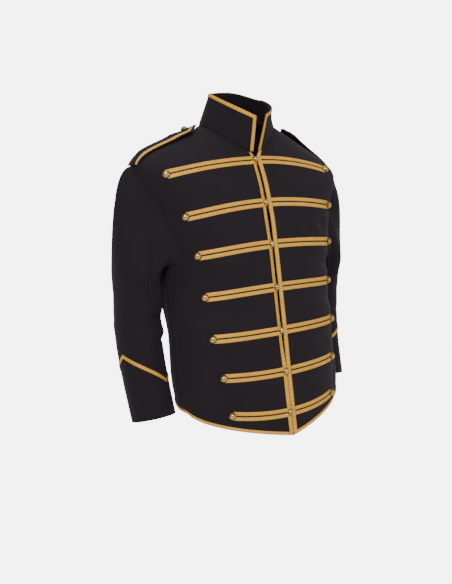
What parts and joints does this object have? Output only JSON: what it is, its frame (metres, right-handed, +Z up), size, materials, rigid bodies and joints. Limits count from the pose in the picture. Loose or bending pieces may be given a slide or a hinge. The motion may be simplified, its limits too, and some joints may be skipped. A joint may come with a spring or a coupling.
{
  "type": "military parade jacket",
  "caption": "Waist-length military parade jacket in black wool, stand collar, set-in sleeves, rows of doubled gold tape with domed brass buttons, shoulder straps, held in its hollow worn form.",
  "frame": {"origin": "between the shoulders, at the height where the collar meets the shoulder seams, where the wearer's shoulders hold the jacket up", "axes": "+Z up the body, -Y the way the wearer faces, +X to the wearer's left"},
  "size_m": [0.5354, 0.2788, 0.6557],
  "materials": {
    "wool": "matt black wool with a soft nap",
    "gold_tape": "gold tape with a fine diagonal twill",
    "brass": "satin domed brass"
  },
  "bodies": {
    "root": {"back": "wool", "button_1_left": "brass", "button_1_middle": "brass", "button_1_right": "brass", "button_2_left": "brass", "button_2_middle": "brass", "button_2_right": "brass", "button_3_left": "brass", "button_3_middle": "brass", "button_3_right": "brass", "button_4_left": "brass", "button_4_middle": "brass", "button_4_right": "brass", "button_5_left": "brass", "button_5_middle": "brass", "button_5_right": "brass", "button_6_left": "brass", "button_6_middle": "brass", "button_6_right": "brass", "button_7_left": "brass", "button_7_middle": "brass", "button_7_right": "brass", "collar": "wool", "collar_tape": "gold_tape", "cuff_tape_left": "gold_tape", "cuff_tape_right": "gold_tape", "edge_tape_left": "gold_tape", "edge_tape_right": "gold_tape", "front_left": "wool", "front_right": "wool", "hem_tape": "gold_tape", "row_1_left": "gold_tape", "row_1_right": "gold_tape", "row_2_left": "gold_tape", "row_2_right": "gold_tape", "row_3_left": "gold_tape", "row_3_right": "gold_tape", "row_4_left": "gold_tape", "row_4_right": "gold_tape", "row_5_left": "gold_tape", "row_5_right": "gold_tape", "row_6_left": "gold_tape", "row_6_right": "gold_tape", "row_7_left": "gold_tape", "row_7_right": "gold_tape", "sleeve_top_left": "wool", "sleeve_top_right": "wool", "sleeve_under_left": "wool", "sleeve_under_right": "wool", "strap_button_left": "brass", "strap_button_right": "brass", "strap_left": "wool", "strap_right": "wool", "strap_tape_left": "gold_tape", "strap_tape_right": "gold_tape"}
  },
  "joints": []
}
